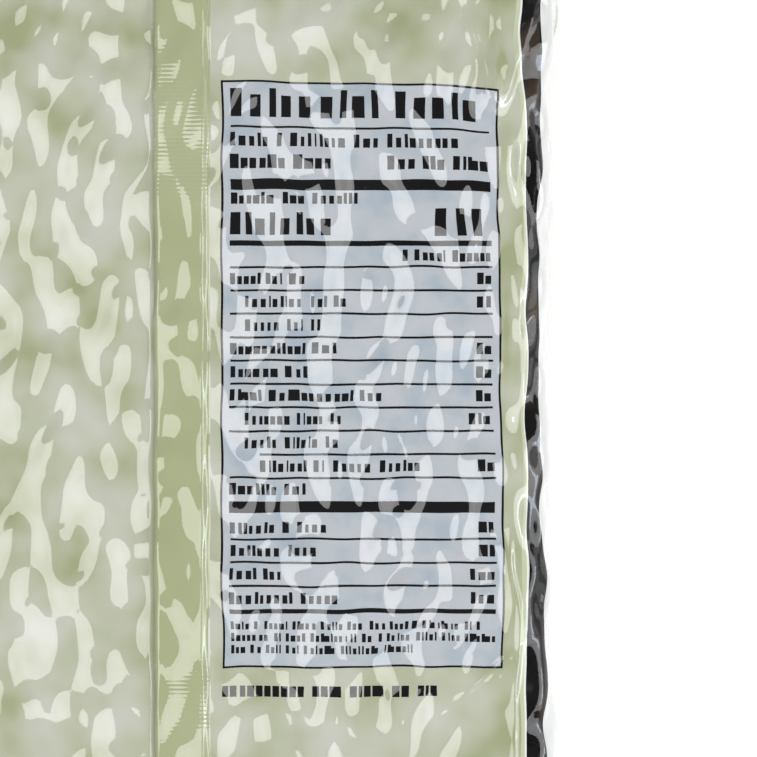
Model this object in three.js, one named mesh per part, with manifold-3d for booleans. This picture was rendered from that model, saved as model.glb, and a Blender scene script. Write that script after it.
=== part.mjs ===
// A bag of dried beans: a sealed pillow pack of thin film, lying on its front with its back panel up.
// Millimetres. +Z is up, +Y runs towards the top seal, and X = 0 is the root of the back seam.
// The origin is on the table, under the middle of the bag.
// The film is drawn tight over the beans, so each bean shows as a low bump in the outer surface.

import * as THREE from "three";
import { mergeVertices } from "three/addons/utils/BufferGeometryUtils.js";
import Module from "manifold-3d";

// Driving dimensions
const FLAT_WIDTH = 140.4; // the empty bag from side to side, which is half the film's width
const BODY_LENGTH = 200; // between the two end seals
const HALF_THICKNESS = 15.4; // of the filled middle, above and below its widest line
const MIDDLE_HEIGHT = 13.5; // of the widest line above the table, so the underside is pressed flat
const SEAL_HEIGHT = 8.5; // of the end seals above the table
const SEAL_LENGTH = 11; // of each end seal, along Y
const SEAL_THICKNESS = 0.9;
const SEAL_OVERLAP = 1.5; // how far an end seal reaches into the body
const RIB_HEIGHT = 0.35; // of the ribs pressed into the end seals
const SEAL_WAVE = 1.1; // how far the end seals curl up and down
const SEAL_WAVE_LENGTH = 92;
const SEAL_WAVE_PHASE = 0.7;
const CURL_REACH = 26; // how far into the body an end seal's curl is felt
const SEAL_DROOP = 1.2; // how much lower an end seal's free edge lies
const TOOTH_PITCH = 3.3; // of the zigzag cut along each end
const TOOTH_DEPTH = 1.3;
const FIN_WIDTH = 10.5; // the back seam, folded flat to one side
const FIN_THICKNESS = 0.7;
const FIN_EDGE = 0.12; // width of the step at each side of the back seam
const FIN_TAPER = 3; // over which the seam rises from an end seal
const BEAN_PITCH_Y = 7.8; // between rows of beans
const BEANS_AROUND = 30; // beans in one row round the bag
const SCATTER = 0.5; // how far a bean may lie from its even place, as a share of the pitch
const TURN = 0.9; // range of angles that beans lie at, in radians
const LOWEST_BEAN = 0.2; // height of the lowest bump, as a share of the highest
const BLEND = 2; // the greater this is, the sharper the valleys between bumps
const RELIEF = 1.5; // from a bean's top down to the lowest film between beans
const BEAN_REACH_U = 3; // how far a bean lifts the film across the bag
const BEAN_REACH_Y = 4.1; // and along it, where the film is pulled tighter
const PLEAT_DEPTH = 1.3; // of the folds that run in from the end seals
const PLEAT_LENGTH = 34;
const PLEAT_DEEPEST = 6; // from the seal to where a fold is deepest
const PLEAT_SPACING = 2.4; // of the folds across the bag, in millimetres to a radian
const PLEAT_DRIFT = 1.6; // how unevenly they are spaced
const PLEAT_DRIFT_SPACING = 9.5;
const PLEAT_FAN = 0.006; // how much they close up to each millimetre away from the seal
const BOTTOM_PHASE = 2.1; // by which the folds at the bottom end differ from those at the top

// How the outer surface is divided into faces
const ROW_STEP = 3.25;
const FINE_STEP = 2.99; // across the back and the sides
const COARSE_STEP = 9; // across the flat underside
const UNDERSIDE_FROM = 78; // from the back's middle line to where the coarse faces begin
const LOOP_POINTS = 360;

const PERIMETER = 2 * FLAT_WIDTH;
const HALF_LENGTH = BODY_LENGTH / 2;
const END_HALF_THICKNESS = 0.55; // of the body where it meets a seal
const FULL_LENGTHWISE = 4.5; // the greater this is, the further the full thickness reaches
const FULL_AT_END = 0.8; // the smaller this is, the blunter the ends
const TOP_SQUARENESS = 6; // superellipse exponents of the section's upper and lower half
const UNDERSIDE_SQUARENESS = 3.4;
const END_SQUARENESS = 2;
const SQUARE_FROM = 0.6; // fullness from which the section is as square as it gets
const BUMPS_FROM = 0.12; // fullness at which the beans begin to show
const BUMPS_TO = 0.5; // and at which they show fully

const clamp01 = (t) => Math.min(1, Math.max(0, t));
const smoothstep = (low, high, t) => {
  const s = clamp01((t - low) / (high - low));
  return s * s * (3 - 2 * s);
};
const signedPower = (v, p) => Math.sign(v) * Math.abs(v) ** p;

// A repeatable number from 0 to 1 for each bean and each of its features.
function chance(i, j, feature) {
  const s = Math.sin(i * 12.9898 + j * 78.233 + feature * 37.719) * 43758.5453;
  return s - Math.floor(s);
}

// The bag's fullness from 1 in the middle to 0 at an end seal.
function fullness(y) {
  const t = clamp01(Math.abs(y) / HALF_LENGTH);
  return (1 - t ** FULL_LENGTHWISE) ** FULL_AT_END;
}

// One cross-section as a closed loop of points at equal steps of film, from the back's middle line
// towards +X and round underneath. Its width is what the film's width leaves at that thickness.
function sectionLoop(y) {
  const full = fullness(y);
  const half = END_HALF_THICKNESS + (HALF_THICKNESS - END_HALF_THICKNESS) * full;
  const middle = SEAL_HEIGHT + (MIDDLE_HEIGHT - SEAL_HEIGHT) * full;
  const square = smoothstep(0, SQUARE_FROM, full);
  const top = END_SQUARENESS + (TOP_SQUARENESS - END_SQUARENESS) * square;
  const under = END_SQUARENESS + (UNDERSIDE_SQUARENESS - END_SQUARENESS) * square;

  const outline = (halfWidth) => {
    const points = [];
    for (let k = 0; k <= LOOP_POINTS; k++) {
      const angle = (2 * Math.PI * k) / LOOP_POINTS;
      const up = Math.cos(angle);
      const power = 2 / (up >= 0 ? top : under);
      points.push([halfWidth * signedPower(Math.sin(angle), power), half * signedPower(up, power)]);
    }
    return points;
  };
  const lengths = (points) => {
    const along = [0];
    for (let k = 1; k < points.length; k++) {
      const [x, z] = points[k];
      const [px, pz] = points[k - 1];
      along.push(along[k - 1] + Math.hypot(x - px, z - pz));
    }
    return along;
  };

  let low = FLAT_WIDTH / 4;
  let high = FLAT_WIDTH / 2;
  for (let k = 0; k < 30; k++) {
    const tried = (low + high) / 2;
    const around = lengths(outline(tried)).at(-1);
    if (around < PERIMETER) low = tried;
    else high = tried;
  }
  const points = outline(low);
  const along = lengths(points);
  return { points, along, middle, full };
}

// The point of a section at a distance u of film from the back's middle line, with its outward direction.
function onSection(loop, u) {
  const { points, along, middle } = loop;
  const total = along.at(-1);
  const wanted = ((((u / PERIMETER) % 1) + 1) % 1) * total;
  let k = 1;
  while (k < along.length - 1 && along[k] < wanted) k++;
  const share = (wanted - along[k - 1]) / (along[k] - along[k - 1]);
  const [px, pz] = points[k - 1];
  const [qx, qz] = points[k];
  const length = Math.hypot(qx - px, qz - pz);
  return {
    x: px + (qx - px) * share,
    z: middle + pz + (qz - pz) * share,
    outX: -(qz - pz) / length,
    outZ: (qx - px) / length,
  };
}

// How high the beans lift the film at film distance u and place y, from 0 to about RELIEF.
function beanRelief(u, y) {
  const pitchU = PERIMETER / BEANS_AROUND;
  const row = Math.round(y / BEAN_PITCH_Y);
  let sum = 0;
  for (let j = row - 2; j <= row + 2; j++) {
    const shift = 0.5 * Math.abs(j % 2);
    const column = Math.round(u / pitchU - shift);
    for (let i = column - 2; i <= column + 2; i++) {
      const n = ((i % BEANS_AROUND) + BEANS_AROUND) % BEANS_AROUND;
      const beanU = (i + shift + SCATTER * (chance(n, j, 1) - 0.5)) * pitchU;
      const beanY = (j + SCATTER * (chance(n, j, 2) - 0.5)) * BEAN_PITCH_Y;
      const rise = RELIEF * (LOWEST_BEAN + (1 - LOWEST_BEAN) * chance(n, j, 3));
      const turn = TURN * (chance(n, j, 4) - 0.5);
      const du = u - beanU;
      const dy = y - beanY;
      const across = (du * Math.cos(turn) + dy * Math.sin(turn)) / BEAN_REACH_U;
      const alongBag = (dy * Math.cos(turn) - du * Math.sin(turn)) / BEAN_REACH_Y;
      sum += (rise * Math.exp(-(across ** 2 + alongBag ** 2) / 2)) ** BLEND;
    }
  }
  return sum ** (1 / BLEND);
}

// The folds that run in from each end seal and die out over PLEAT_LENGTH.
function pleat(x, y) {
  const fromSeal = HALF_LENGTH - Math.abs(y);
  const reach = smoothstep(PLEAT_LENGTH, PLEAT_DEEPEST, fromSeal) * smoothstep(0, PLEAT_DEEPEST, fromSeal);
  const end = y > 0 ? 0 : BOTTOM_PHASE;
  const fan = x * (1 + PLEAT_FAN * fromSeal);
  const drift = PLEAT_DRIFT * Math.sin(fan / PLEAT_DRIFT_SPACING + end);
  return PLEAT_DEPTH * reach * Math.sin(fan / PLEAT_SPACING + drift + end) ** 3;
}

const sealWave = (x) => SEAL_WAVE * Math.sin((2 * Math.PI * x) / SEAL_WAVE_LENGTH + SEAL_WAVE_PHASE);

// The outer surface at film distance u and place y.
function onSurface(loop, u, y) {
  const { x, z, outX, outZ } = onSection(loop, u);
  const filled = smoothstep(BUMPS_FROM, BUMPS_TO, loop.full);
  const above = clamp01(outZ * 3); // 1 on the upper side, where the seam and the folds are
  const inFin = u >= -FIN_WIDTH && u <= 0 ? 1 : 0;
  const move =
    (beanRelief(u, y) - RELIEF) * filled +
    pleat(x, y) * above +
    FIN_THICKNESS * inFin * smoothstep(0, FIN_TAPER, HALF_LENGTH - Math.abs(y));
  const curl = sealWave(x) * smoothstep(CURL_REACH, 0, HALF_LENGTH - Math.abs(y));
  return [x + outX * move, y, Math.max(0, z + outZ * move + curl)];
}

// Evenly spaced numbers from first to last, both included, no further apart than step.
function spread(first, last, step) {
  const count = Math.ceil((last - first) / step);
  return Array.from({ length: count + 1 }, (_, k) => first + ((last - first) * k) / count);
}

// Faces that close one end row: its upper and lower points are joined in turn from -X to +X.
function endFaces(positions, start, around, faces, facing) {
  const xOf = (c) => positions[3 * (start + c)];
  const order = Array.from({ length: around }, (_, c) => c);
  const right = order.reduce((best, c) => (xOf(c) > xOf(best) ? c : best), 0);
  const left = order.reduce((best, c) => (xOf(c) < xOf(best) ? c : best), 0);
  const chain = (step) => {
    const points = [left];
    while (points.at(-1) !== right) points.push((points.at(-1) + step + around) % around);
    return points;
  };
  const [upper, lower] = [chain(1), chain(-1)];
  let [i, j] = [0, 0];
  while (i < upper.length - 1 || j < lower.length - 1) {
    const upperIsNext = i < upper.length - 1 && xOf(upper[i + 1]) < xOf(lower[j + 1]);
    const takeUpper = j === lower.length - 1 || upperIsNext;
    const third = takeUpper ? upper[i + 1] : lower[j + 1];
    const face = [upper[i], lower[j], third];
    if (new Set(face).size === 3) {
      if (facing < 0) face.reverse();
      faces.push(...face.map((c) => start + c));
    }
    if (takeUpper) i++;
    else j++;
  }
}

// The body: rows along Y, each one loop round the bag, closed at both ends.
function bodyGeometry() {
  const columns = [
    ...spread(-UNDERSIDE_FROM, -FIN_WIDTH - FIN_EDGE, FINE_STEP),
    ...spread(-FIN_WIDTH, 0, FINE_STEP),
    ...spread(FIN_EDGE, UNDERSIDE_FROM, FINE_STEP),
    ...spread(UNDERSIDE_FROM, PERIMETER - UNDERSIDE_FROM, COARSE_STEP).slice(1, -1),
  ];
  const rows = spread(-HALF_LENGTH, HALF_LENGTH, ROW_STEP);
  const positions = [];
  const faces = [];
  const around = columns.length;
  for (const y of rows) {
    const loop = sectionLoop(y);
    for (const u of columns) positions.push(...onSurface(loop, u, y));
  }
  for (let r = 0; r < rows.length - 1; r++) {
    for (let c = 0; c < around; c++) {
      const next = (c + 1) % around;
      const [a, b] = [r * around + c, r * around + next];
      const [d, e] = [a + around, b + around];
      faces.push(a, b, d, b, e, d);
    }
  }
  endFaces(positions, 0, around, faces, 1);
  endFaces(positions, (rows.length - 1) * around, around, faces, -1);
  return geometryOf(positions, faces);
}

// A thin curled plate along an end seal, given by its rows across X as [x, tip, rib height].
// side is 1 at the top of the bag and -1 at the bottom.
function plateGeometry(side, rows, root, low, high) {
  const positions = [];
  const faces = [];
  for (const [x, tip, rib] of rows) {
    const z = SEAL_HEIGHT + sealWave(x) + rib;
    positions.push(x, side * root, z + high, x, side * tip, z + high - SEAL_DROOP);
    positions.push(x, side * tip, z + low - SEAL_DROOP, x, side * root, z + low);
  }
  const quad = (a, b, c, d) => faces.push(...(side > 0 ? [a, b, c, a, c, d] : [a, c, b, a, d, c]));
  for (let k = 0; k < rows.length - 1; k++) {
    const [here, there] = [4 * k, 4 * (k + 1)];
    for (let c = 0; c < 4; c++) quad(here + c, there + c, there + ((c + 1) % 4), here + ((c + 1) % 4));
  }
  const last = 4 * (rows.length - 1);
  quad(0, 1, 2, 3);
  quad(last + 3, last + 2, last + 1, last);
  return geometryOf(positions, faces);
}

// One end seal: a ribbed plate with a zigzag cut, one rib to a tooth, and the end of the back seam on it.
function endSeal(side) {
  const teeth = Math.round(FLAT_WIDTH / TOOTH_PITCH);
  const tip = HALF_LENGTH + SEAL_LENGTH;
  const rows = Array.from({ length: 2 * teeth + 1 }, (_, k) => {
    const x = FLAT_WIDTH * (k / (2 * teeth) - 0.5);
    return k % 2 ? [x, tip, RIB_HEIGHT] : [x, tip - TOOTH_DEPTH, 0];
  });
  const seam = [-FIN_WIDTH, -FIN_WIDTH / 2, 0].map((x) => [x, tip - TOOTH_DEPTH, 0]);
  const half = SEAL_THICKNESS / 2;
  const plate = solidOf(plateGeometry(side, rows, HALF_LENGTH - SEAL_OVERLAP, -half, half));
  const seamEnd = plateGeometry(side, seam, HALF_LENGTH - SEAL_OVERLAP / 2, 0, half + FIN_THICKNESS);
  return plate.add(solidOf(seamEnd));
}

function geometryOf(positions, faces) {
  const geometry = new THREE.BufferGeometry();
  geometry.setAttribute("position", new THREE.Float32BufferAttribute(positions, 3));
  geometry.setIndex(faces);
  return geometry;
}

const wasm = await Module();
wasm.setup();

// A closed geometry as a solid, with its faces pointing out.
function solidOf(geometry) {
  const merged = mergeVertices(geometry, 1e-4);
  const made = new wasm.Manifold(
    new wasm.Mesh({
      numProp: 3,
      vertProperties: merged.attributes.position.array,
      triVerts: new Uint32Array(merged.index.array),
    }),
  );
  if (made.volume() <= 0) throw new Error("a solid is inside out");
  return made;
}

function meshOf(solid, name, material) {
  const made = solid.getMesh();
  const geometry = new THREE.BufferGeometry();
  geometry.setAttribute("position", new THREE.BufferAttribute(made.vertProperties, 3));
  geometry.setIndex(new THREE.BufferAttribute(made.triVerts, 1));
  geometry.computeVertexNormals();
  const mesh = new THREE.Mesh(geometry, material);
  mesh.name = name;
  return mesh;
}

const film = new THREE.MeshStandardMaterial({ color: 0xb4bc94, roughness: 0.25, metalness: 0 });
const bag = solidOf(bodyGeometry()).add(endSeal(1)).add(endSeal(-1));

const group = new THREE.Group();
group.add(meshOf(bag, "bag", film));

export default group;
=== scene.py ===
import math
import bpy
import numpy as np
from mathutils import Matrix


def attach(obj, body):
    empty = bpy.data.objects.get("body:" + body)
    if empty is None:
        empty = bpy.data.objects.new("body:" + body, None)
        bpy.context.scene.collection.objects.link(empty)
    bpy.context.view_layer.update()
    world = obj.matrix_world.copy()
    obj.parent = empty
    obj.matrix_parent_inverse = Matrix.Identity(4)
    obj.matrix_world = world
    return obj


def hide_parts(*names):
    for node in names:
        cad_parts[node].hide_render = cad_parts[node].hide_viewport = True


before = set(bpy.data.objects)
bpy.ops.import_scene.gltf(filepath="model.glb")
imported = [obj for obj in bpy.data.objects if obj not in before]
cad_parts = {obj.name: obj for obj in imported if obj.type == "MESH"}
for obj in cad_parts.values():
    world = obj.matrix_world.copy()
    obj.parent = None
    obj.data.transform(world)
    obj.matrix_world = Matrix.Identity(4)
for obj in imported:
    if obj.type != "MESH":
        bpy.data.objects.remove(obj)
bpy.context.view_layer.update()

MM = 0.001
ROUNDING = 1e-6
SHORTEST_NORMAL = 1e-9

# The bag's sizes in millimetres, the same as the solid's
FLAT_WIDTH = 140.4
PERIMETER = 2 * FLAT_WIDTH
BODY_LENGTH = 200.0
HALF_LENGTH = BODY_LENGTH / 2
HALF_THICKNESS = 15.4
MIDDLE_HEIGHT = 13.5
SEAL_HEIGHT = 8.5
SEAL_LENGTH = 11.0
SEAL_THICKNESS = 0.9
SEAL_OVERLAP = 1.5
RIB_HEIGHT = 0.35
SEAL_WAVE = 1.1
SEAL_WAVE_LENGTH = 92.0
SEAL_WAVE_PHASE = 0.7
CURL_REACH = 26.0
SEAL_DROOP = 1.2
TOOTH_PITCH = 3.3
TOOTH_DEPTH = 1.3
FIN_WIDTH = 10.5
FIN_THICKNESS = 0.7
FIN_TAPER = 3.0
BEAN_PITCH_Y = 7.8
BEANS_AROUND = 30
SCATTER = 0.5
TURN = 0.9
LOWEST_BEAN = 0.2
BLEND = 2
RELIEF = 1.5
BEAN_REACH_U = 3.0
BEAN_REACH_Y = 4.1
PLEAT_DEPTH = 1.3
PLEAT_LENGTH = 34.0
PLEAT_DEEPEST = 6.0
PLEAT_SPACING = 2.4
PLEAT_DRIFT = 1.6
PLEAT_DRIFT_SPACING = 9.5
PLEAT_FAN = 0.006
BOTTOM_PHASE = 2.1
FULL_LENGTHWISE = 4.5
FULL_AT_END = 0.8
TOP_SQUARENESS = 6.0
UNDERSIDE_SQUARENESS = 3.4
END_SQUARENESS = 2.0
END_HALF_THICKNESS = 0.55
SQUARE_FROM = 0.6
BUMPS_FROM = 0.12
BUMPS_TO = 0.5

# The film's finer relief: knobs are the ends and edges of beans
KNOBS_AROUND = 55
KNOB_PITCH_Y = 7.6
KNOB_RISE = 0.35
LOWEST_KNOB = 0.3
KNOB_REACH_U = 1.6
KNOB_REACH_Y = 3.6
KNOB_DEPTH = 0.3
LATERAL_PULL = 0.9
SLOPE_STEP = 0.05
UPWARD_GAIN = 3.0

# Slack in the film: shallow waves, calmer towards the low end
WRINKLE = 0.16
WRINKLES = 14
WRINKLE_SEED = 331
WRINKLE_TURN = 1.0
WRINKLE_SHORTEST = 5.5
WRINKLE_LONGEST = 10.0
WRINKLE_BEND = 1.4
WRINKLE_BEND_LENGTH = 13.0
WRINKLE_FADE = 12.0
WRINKLE_CALM = 0.2
CALM_FROM = -28.0
CALM_FULL = -44.0

# The back seam: the fold at its root, the lines pressed beside it, and the film lifted next to it
SEAM_FOLD = -0.7
SEAM_ROUND = 1.3
SEAM_LINE = 0.05
SEAM_LINE_WIDTH = 0.2
SEAM_LINES = (-0.9, -2.0)
SEAM_LIFT = 0.15
SEAM_LIFT_WIDTH = 1.6

# The fold that wanders along the bag beside each edge: waves are height, length over two pi, phase
CREASE_U = 54.2
CREASE_HEIGHT = 0.32
CREASE_WIDTH = 0.55
CREASE_WAVES = ((0.8, 9.5, 0.6), (0.4, 4.1, 0.0))
CREASE_BELOW = -25.0
CREASE_FADE = 8.0
CREASE_STOP = -60.0
CREASE_AT = 13.6
CREASE_AT_REACH = 6.0

# Short slanted folds above the panel's corner: place at their start, and lean
TUCKS = ((50.4, -0.34), (50.7, 0.0), (51.6, 0.36))
TUCK_HEIGHT = 0.45
TUCK_WIDTH = 0.8
TUCK_FROM = 49.5
TUCK_RISE = 3.0
TUCK_FULL_TO = 61.5
TUCK_STOP = 75.5

# Slanted folds at the panel's low end: middle across and along, lean, half length, width, height
LOW_FOLDS = (
    (48.5, -54.0, 1.18, 5.0, 1.1, 0.42),
    (38.5, -53.2, 0.92, 5.0, 2.6, 0.5),
    (47.0, -45.0, 0.45, 6.0, 1.7, 0.4),
    (14.5, -53.0, 0.8, 4.0, 2.3, 0.45),
    (4.4, -43.0, 0.2, 7.0, 2.0, 0.4),
)

# How far the print is drawn along the bag: pairs are start and end, ramps height, start and end
SLIP_START = (0.0, 10.0)
SLIP_STOP = (85.0, 60.0)
SLIP_UPPER = (22.0, 56.0)
SLIP_RAMPS = ((0.7, 0.0, 45.0), (0.9, 42.0, 53.0))
SLIP_WAVES = ((0.14, 5.2, 1.0),)
SLIP_WAVE_FROM = (30.0, 56.0)

# How far it is drawn across the bag, at the panel's borders and both ends of the clear side
LEFT_DRIFT = -0.2
LEFT_DRIFT_RAMPS = ((0.25, -34.0, -40.0),)
LEFT_DRIFT_WIDTH = 0.8
PANEL_DRIFT = 0.35
PANEL_DRIFT_RAMPS = ((-0.32, 24.0, 29.0), (-0.48, 35.0, 50.0), (0.45, 0.0, -14.0))
PANEL_DRIFT_WAVES = ((0.12, 7.0, 0.0),)
GREEN_DRIFT = 0.15
GREEN_DRIFT_RAMPS = ((-1.5, 44.0, 58.0), (-0.4, -33.0, -42.0))
GREEN_DRIFT_WAVES = ((0.14, 3.7, 0.0),)
GREEN_NOTCH = -0.85
GREEN_NOTCH_REACH = 4.0
CLEAR_DRIFT_WAVES = ((0.35, 6.1, 0.0), (0.15, 2.9, 1.0))
CLEAR_BULGE = 1.9
CLEAR_BULGE_TOP = (-24.0, -37.0)
CLEAR_BULGE_FOOT = (-64.0, -50.0)
DRIFT_FROM = 20.0
DRIFT_PAST = 8.0
DRIFT_FADE = 26.0

# The print, as distances of film from the back's middle line and places along the bag
PANEL_LEFT = 1.6
CELL = 0.3
PANEL_CELLS = 166
PANEL_RIGHT = PANEL_LEFT + CELL * PANEL_CELLS
PANEL_TOP = 52.9
PANEL_BOTTOM = -52.2
BORDER = 0.38
GREEN_EDGE = 55.75
# Painted highlight: a paler green line along the green's edge, where the film turns down
EDGE_HIGHLIGHT_LINE = 0.6
WHITE_LINE = 0.3
CLEAR_END = 59.5
# Painted shade: a black line along the clear film's outer edge, where the turned film looks dark
PAINTED_SHADE_LINE = 0.4
SIDE_BAND_END = 73.0
STRIPES_END = 98.5
BEANS_SHOW_TO = 85.5
BEANS_SHOW_ROUND = 0.35
BEANS_SHOW_WAVE = 1.6
BEANS_SHOW_TURN = 2.2
BACK_END = 70.2

# The window and the plain block on the bag's front, which lies underneath
FRONT_MIDDLE = PERIMETER / 2
WINDOW_HALF_WIDTH = 34.0
WINDOW_LOW = -62.0
WINDOW_HIGH = 12.0
BLOCK_HALF_WIDTH = 40.0
BLOCK_LOW = 24.0
BLOCK_HIGH = 66.0

# The panel's layout: pitch of the rows, thicknesses of the rules, margins, tops and base lines
ROW = 4.19
RULE = 0.40
THICK_RULE = 1.98
MIDDLE_RULE = 0.95
LOW_RULE = 0.8
LEFT_MARGIN = 5 * CELL
RIGHT_MARGIN = 5 * CELL
INDENT = 9 * CELL
TABLE_TOP = 33.4
TABLE_BASE = 3.05
LOWER_TABLE_TOP = 77.9
LOWER_TABLE_BASE = 3.1
VALUE_WIDTH = 1.5

# Sizes of blocks: height of a low and of a tall one, and the share of its place that one fills
TITLE = (3.9, 5.1, 0.58)
BIG = (3.0, 4.1, 0.62)
NUMBER = (5.1, 5.1, 0.54)
STRONG = (1.85, 2.5, 0.76)
PLAIN = (1.75, 2.45, 0.60)
SMALL_BOLD = (1.5, 2.05, 0.72)
SMALL = (1.5, 2.05, 0.60)
TINY = (1.1, 1.5, 0.62)
LAST = (1.95, 1.95, 0.78)

# How often a block is tall, and the widths of places and of the gaps between groups
TALL_SHARE = 0.3
TALL_WIDTH = 0.6
LOW_WIDTH = 0.9
WIDTH_SPREAD = 0.2
GROUP_GAP = 0.7

# The sections and the film's grid: steps are the furthest that its lines are apart
SECTION_POINTS = 1440
HALVINGS = 30
END_STEP = 1.0
PRINT_STEP = 0.74
LEFT_STEP = 0.8
RIGHT_STEP = 0.45
FRONT_STEP = 1.25
SEAM_STEP = 0.15
SEAM_OUTER_STEP = 1.1
SEAM_FINE_FROM = -2.4
SEAM_DROP = 0.12
GAP_STEP = 0.4
CLOSEST_LINES = 0.02

# The end seals
COLUMNS_PER_TOOTH = 12
SEAL_ROWS = 14
PRESSED_FROM = 0.1
PRESSED_FULL = 0.25

# The beans and the mass behind them
BEAN_HALF = np.array([4.4, 3.7, 3.4])
BEAN_ROWS = 10
BEAN_LAYERS = 2
LAYER_DEPTH = 5.4
SMALLEST_BEAN = 0.92
BEAN_SPREAD = 0.12
BEAN_WAIST = 0.06
BEAN_WAIST_TURN = 3
UNDER_FILM = 0.6
CLEARANCE = 2.0
DEEPEST_SHIFT = 8.0
SHIFT_STEP = 0.25
BESIDE_CLEAR = 5.0
BESIDE_WINDOW = 4.0
MASS_AROUND = 80
MASS_ROWS = 61
MASS_END = 12.0
MASS_DEPTH = 9.5
MASS_FULL = 0.6

# Materials: roughness, tones from dark to light, and patches to the metre
FILM_ROUGHNESS = 0.035
FILM_IOR = 1.71
FILM_PATCHES = 35.0
GREEN_TONES = [
    (0.38, 0.407, 0.236),
    (0.457, 0.483, 0.33),
    (0.52, 0.543, 0.412),
    (0.57, 0.584, 0.48),
    (0.61, 0.616, 0.545),
]
GREEN_PATCHES = 75.0
# Painted shade: the green is darkened from this distance across towards the bag's sides, in
# millimetres
SIDES_PAINTED_SHADE = 0.07
SIDES_PAINTED_SHADE_FROM = 46.0
SIDES_PAINTED_SHADE_FULL = 54.0
SEAM_TONES = [(0.395, 0.43, 0.238), (0.46, 0.486, 0.298)]
PANEL_TONES = [(0.42, 0.482, 0.546), (0.515, 0.554, 0.586), (0.56, 0.572, 0.614)]
PANEL_PATCHES = 170.0
INK_TONES = [(0.005, 0.005, 0.006), (0.009, 0.009, 0.010)]
WHITE_TONES = [(0.84, 0.87, 0.80), (0.90, 0.92, 0.87)]
# Painted highlight along the green's edge
EDGE_HIGHLIGHT_TONES = [(0.57, 0.61, 0.41), (0.63, 0.67, 0.48)]
SIDE_TONES = [(0.72, 0.73, 0.70), (0.80, 0.81, 0.78)]
CLEAR_ROUGHNESS = 0.04
CLEAR_IOR = 1.8
CLEAR_SHARE = 0.6
CLEAR_TONES = [
    (0.004, 0.004, 0.005),
    (0.010, 0.010, 0.012),
    (0.012, 0.011, 0.011),
    (0.10, 0.07, 0.05),
]
CLEAR_PATCHES = 75.0
BEAN_ROUGHNESS = 0.35
BEAN_TONES = [(0.004, 0.004, 0.006), (0.022, 0.016, 0.014)]
BEAN_PATCHES = 120.0
DEEP_ROUGHNESS = 0.9
DEEP_TONES = [(0.003, 0.003, 0.003), (0.008, 0.007, 0.006)]
DEEP_PATCHES = 90.0

# Fine lines pressed across the seam
LINE_PITCH = 0.76
LINE_RISE = 0.025
LINE_WAVINESS = 0.6
LINE_PATCHES = 40.0
LINE_PATCH_FROM = 0.5
LINE_PATCH_FULL = 0.65
WAVE_TEXTURE_FACTOR = 20

# Painted shade in the folds beside the panel: middle across and along, half sizes, depth
FOLD_PAINTED_SHADES = [
    (51.7, 55.5, 1.6, 5.0, 0.5),
    (51.9, -37.0, 2.0, 14.0, 0.25),
    (52.4, 8.0, 1.6, 12.0, 0.2),
]
FOLD_PAINTED_SHADE_HEIGHT = 28.0

# Soft lights in metres; leans are those of film that reflects them, in degrees
BOX_DISTANCE = 1.3
BOX_RAISED = 0.02
BOX_LENGTH = 0.94
BOX_RADIANCE = 3.0
SIDE_BOXES = (("right", -8, 20, 34), ("left", 190, 2.5, 27))
INNER_BEHIND = 0.01
INNER_LENGTH = 0.8 * BOX_LENGTH
INNER_RADIANCE = 0.48
END_BOXES = (("top", 90), ("bottom", 270))
END_LEANS = (24.5, 31.5)
END_LENGTH = 1.0
END_RADIANCE = 2.4
LOW_AZIMUTH = 0
LOW_LEANS = (34.3, 39.7)
LOW_LENGTH = 1.2
LOW_RADIANCE = 0.9
COOL_AZIMUTH = -12
COOL_LEANS = (29.5, 32.5)
COOL_LENGTH = 0.5
COOL_RADIANCE = 6.0
COOL_COLOR = (0.62, 0.78, 1.0)
SKY_LOW = 0.15
SKY_HIGH = 0.62
SKY_BELOW = 0.55
SKY_ABOVE = 0.10

# Floor and camera
FLOOR_HALF = 3000.0
FLOOR_ROUGHNESS = 0.8
FLOOR_TONES = [(0.9, 0.9, 0.9), (0.92, 0.92, 0.92)]
FLOOR_PATCHES = 1.0
FLOOR_GLOW = (1, 0.97, 1.04, 1)
FLOOR_GLOW_STRENGTH = 0.43
PIXEL = 0.1787
PHOTO_MIDDLE_X = 29.6
PHOTO_MIDDLE_Y = -0.45
PHOTO_PIXELS = 757
PHOTO_WIDTH = PHOTO_PIXELS * PIXEL
CAMERA_HEIGHT = 1600.0
PANEL_HEIGHT = 28.0
SENSOR_WIDTH = 36.0
CLIP_END = 20.0


def smoothstep(low, high, t):
    s = np.clip((t - low) / (high - low), 0, 1)
    return s * s * (3 - 2 * s)


def signed_power(v, p):
    return np.sign(v) * np.abs(v) ** p


def chance(i, j, feature):
    """A number from 0 to 1 that is always the same for the same place and feature."""
    s = np.sin(i * 12.9898 + j * 78.233 + feature * 37.719) * 43758.5453
    return s - np.floor(s)


def add_waves(total, t, waves):
    for height, length, phase in waves:
        total = total + height * np.sin(t / length + phase)
    return total


def add_ramps(total, t, ramps):
    for height, start, end in ramps:
        total = total + height * smoothstep(start, end, t)
    return total


def fullness(y):
    t = np.clip(np.abs(y) / HALF_LENGTH, 0, 1)
    return (1 - t ** FULL_LENGTHWISE) ** FULL_AT_END


# Sections


def section_shape(y):
    """Half the thickness, the height of the widest line and the two squarenesses at y."""
    full = fullness(y)
    half = END_HALF_THICKNESS + (HALF_THICKNESS - END_HALF_THICKNESS) * full
    middle = SEAL_HEIGHT + (MIDDLE_HEIGHT - SEAL_HEIGHT) * full
    square = smoothstep(0, SQUARE_FROM, full)
    top = END_SQUARENESS + (TOP_SQUARENESS - END_SQUARENESS) * square
    under = END_SQUARENESS + (UNDERSIDE_SQUARENESS - END_SQUARENESS) * square
    return half, middle, top, under


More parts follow.
